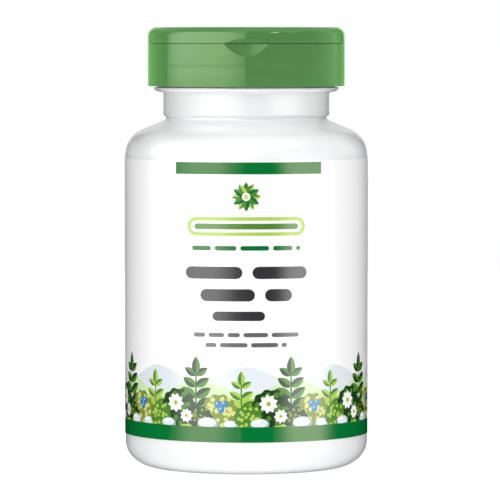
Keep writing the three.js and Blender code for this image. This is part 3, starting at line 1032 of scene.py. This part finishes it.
def make_label():
    art = Artwork()
    art.add("film", rectangle(-LABEL_HALF, LABEL_BOTTOM_Z, LABEL_HALF, LABEL_TOP_Z))
    draw_frieze(art)
    draw_front(art)
    draw_panel(art, -PANEL_MIDDLE, seed=5)
    draw_panel(art, PANEL_MIDDLE, seed=8)
    flat, triangles = triangulated(art.shapes)
    inks = art.painted(flat, triangles)

    names = list(INKS)
    bm = bmesh.new()
    verts = [bm.verts.new(wrapped(s, z)) for s, z in flat]
    for corners, ink in zip(triangles, inks):
        if all(abs(flat[i].x) <= LABEL_HALF + OVERHANG for i in corners):
            face = bm.faces.new([verts[i] for i in corners])
            face.material_index = names.index(ink)
    bmesh.ops.delete(bm, geom=[v for v in bm.verts if not v.link_faces], context="VERTS")
    rim = [e for e in bm.edges if e.is_boundary]
    for new in bmesh.ops.extrude_edge_only(bm, edges=rim)["geom"]:
        if isinstance(new, bmesh.types.BMVert):
            outer_r = math.hypot(new.co.x, new.co.y)
            new.co.x *= LABEL_INNER_R * MM / outer_r
            new.co.y *= LABEL_INNER_R * MM / outer_r
    bmesh.ops.recalc_face_normals(bm, faces=bm.faces)
    label = new_object("wrap_label", bm)
    for name, look in INKS.items():
        label.data.materials.append(label_film(name, *look))
    bare_film = label.data.materials[0].node_tree.nodes["Principled BSDF"]
    set_inputs(bare_film, {"Coat Weight": 0.7, "Coat Roughness": 0.25})
    smooth(label, LABEL_SHARP_DEGREES)
    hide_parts("label")
    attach(label, "bottle")


# ---- Stage, light and camera ----

PIXEL = 0.2835 * MM
CAMERA_DISTANCE = 1.219
HORIZON_ROW, BASE_ROW, AXIS_COLUMN = 36, 466, 246.3
FRAME_SIDE = 500
FLOOR_R, FLOOR_GLOW, SURROUND_R, SURROUND_HEIGHTS = 1.0, 0.45, 2.6, (-4, 4)
SKY_FRONT, SKY_BACK, SKY_HORIZON_SHARE = 2.25, 0.45, 0.36
SKY_TURN = math.radians(8)
SKY_Y_SPAN, SKY_Z_SPAN = (0.35, -0.8), (0.1, 0.7)
PANEL_DISTANCE = 0.85
FLAG_R, FLAG_HEIGHTS, FLAG_SETBACK = 1.5, (0.09, 0.82), 0.02

# Panels that only the gloss reflects: name, the bearings they fill in degrees to the right
# of the camera, their lowest and highest z, their strength and the fade at either side.
# A fade is the share of the width that it takes and the share of the strength that is left
# at the panel's edge. The low panels reach below the floor, which gloss doesn't see.
SHARP, LEAST_FADE = (0, 1), 0.001
PANELS = (
    ("closure_left", -103.8, -1.5, 0.092, 1.03, 5.75, (0.35, 0.3), (0.4, 0.49)),
    ("closure_right", 60, 131.4, 0.095, 1.03, 0.62, (1, 0), SHARP),
    ("closure_back_right", 141.4, 162, 0.095, 0.325, 0.03),
    ("closure_back_left", 198, 230.6, 0.095, 0.325, 0.15),
    ("lid_glint", 32, 48, 0.78, 1.05, 16.0, (0.5, 0), (0.5, 0)),
    ("lid_flag", -1.5, 60, 0.45, 2.0, 0),
    ("label_left", -76, -5, -0.08, 0.068, 2.05, (0.37, 0), (0.42, 0)),
    ("label_right", 26, 92, -0.08, 0.068, 3.0, (0.32, 0), (0.4, 0)),
    ("label_flag", -5, 26, -0.6, 0.085, 0),
    ("label_far_left_flag", -125, -76, -0.6, 0.068, 0),
    ("label_far_right_flag", 92, 125, -0.6, 0.068, 0),
    ("back_flag", 125, 235, -0.6, 0.066, 0),
    ("back_rim", 162, 198, 0.066, 0.5, 0.75),
)


def glowing(name, strength):
    """A material that gives off even white light."""
    mat = bpy.data.materials.new(name)
    mat.use_nodes = True
    mat.node_tree.nodes.clear()
    glow = add_node(mat, "Emission", Strength=strength)
    out = add_node(mat, "OutputMaterial")
    link(mat, glow.outputs[0], out.inputs["Surface"])
    return mat


def make_panel(name, start, end, low, high, strength, fade_in=SHARP, fade_out=SHARP):
    """An upright panel that faces the part. One of strength 0 is a dark flag behind the others."""
    bearing, half = math.radians(start + end) / 2, math.radians(end - start) / 2
    distance = PANEL_DISTANCE if strength else PANEL_DISTANCE + FLAG_SETBACK
    half_width = distance * math.tan(half)
    bm = bmesh.new()
    corners = rectangle(-half_width, low, half_width, high)
    bm.faces.new([bm.verts.new((x, 0, z)) for x, z in corners])
    panel = new_object(name, bm)
    panel.location = (distance * math.sin(bearing), -distance * math.cos(bearing), 0)
    panel.rotation_euler.z = bearing
    mat = glowing(name, strength)
    if fade_in != SHARP or fade_out != SHARP:
        across = object_axis(mat, "X")
        shares = []
        for edge, (width, left) in ((-half_width, fade_in), (half_width, fade_out)):
            inner = edge - 2 * edge * max(width, LEAST_FADE)
            shares.append(ranged(mat, across, left, 1.0, start=edge, end=inner, curve="SMOOTHSTEP"))
        dimmed = math_node(mat, "MULTIPLY", math_node(mat, "MULTIPLY", *shares), strength)
        link(mat, dimmed, mat.node_tree.nodes["Emission"].inputs["Strength"])
    panel.data.materials.append(mat)
    panel.visible_camera = False
    panel.visible_diffuse = False


def round_wall(name, radius, heights, strength, segments):
    """An open cylinder about the part that glows, or is dark if its strength is 0."""
    low, high = heights
    bm = bmesh.new()
    bmesh.ops.create_cone(bm, segments=segments, radius1=radius, radius2=radius, depth=high - low)
    bmesh.ops.translate(bm, verts=bm.verts, vec=(0, 0, (low + high) / 2))
    wall = new_object(name, bm)
    wall.data.materials.append(glowing(name, strength))
    return wall


def make_flag():
    """A dark ring behind the upper panels, which keeps the sky off the closure's gloss."""
    flag = round_wall("flag", FLAG_R, FLAG_HEIGHTS, 0, segments=96)
    flag.visible_camera = False
    flag.visible_diffuse = False


def make_floor():
    """A pale light-table floor, and a white surround past its edge that only the camera sees."""
    bm = bmesh.new()
    bmesh.ops.create_circle(bm, cap_ends=True, segments=128, radius=FLOOR_R)
    floor = new_object("floor", bm)
    mat, shader = principled("floor", (0.93, 0.93, 0.93), 0.8)
    set_inputs(shader, {"Emission Color": (*WHITE, 1), "Emission Strength": FLOOR_GLOW})
    floor.data.materials.append(mat)
    floor.visible_glossy = False

    surround = round_wall("surround", SURROUND_R, SURROUND_HEIGHTS, 1.0, segments=128)
    surround.visible_diffuse = False
    surround.visible_glossy = False
    surround.visible_shadow = False


def make_world():
    """Soft light from above and the front, a little to the right, and less from the horizon."""
    world = bpy.data.worlds.new("studio")
    world.use_nodes = True
    place = add_node(world, "TexCoord")
    turn = add_node(world, "Mapping", Rotation=(0, 0, -SKY_TURN))
    split = add_node(world, "SeparateXYZ")
    link(world, place.outputs["Generated"], turn.inputs["Vector"])
    link(world, turn.outputs["Vector"], split.inputs[0])
    y, z = split.outputs["Y"], split.outputs["Z"]
    forward = ranged(world, y, SKY_BACK, SKY_FRONT, *SKY_Y_SPAN, "SMOOTHSTEP")
    upward = ranged(world, z, SKY_HORIZON_SHARE, 1.0, *SKY_Z_SPAN, "SMOOTHSTEP")
    background = world.node_tree.nodes["Background"]
    background.inputs["Color"].default_value = (*WHITE, 1)
    link(world, math_node(world, "MULTIPLY", forward, upward), background.inputs["Strength"])
    bpy.context.scene.world = world


def make_stage():
    make_floor()
    make_world()
    make_flag()
    for panel in PANELS:
        make_panel(*panel)


def make_camera():
    """The photo's view, worked out from its rows, its columns and the size of a pixel."""
    height = (BASE_ROW - HORIZON_ROW) * PIXEL
    aim_z = (BASE_ROW - FRAME_SIDE / 2) * PIXEL
    aim_x = (FRAME_SIDE / 2 - AXIS_COLUMN) * PIXEL
    camera = bpy.data.cameras.new("camera")
    camera.sensor_width = 36
    camera.lens = camera.sensor_width * CAMERA_DISTANCE / PIXEL / FRAME_SIDE
    holder = bpy.data.objects.new("camera", camera)
    holder.location = (aim_x, -CAMERA_DISTANCE, height)
    look = Vector((aim_x, 0, aim_z)) - holder.location
    holder.rotation_euler = look.to_track_quat("-Z", "Y").to_euler()
    bpy.context.scene.collection.objects.link(holder)
    bpy.context.scene.camera = holder
    bpy.context.scene.view_settings.view_transform = "Standard"


make_camera()
make_stage()
make_bottle()
make_label()
make_sealing_ring()
polished_green = closure_plastic("closure_plastic", roughness=0.1, gloss=0.5, sheen=0.75)
satin_green = closure_plastic("closure_plastic_inside", roughness=0.5, gloss=0.25, sheen=0.15)
make_closure_body(polished_green, satin_green)
make_closure_lid(polished_green, satin_green)
make_hinge_web(satin_green)
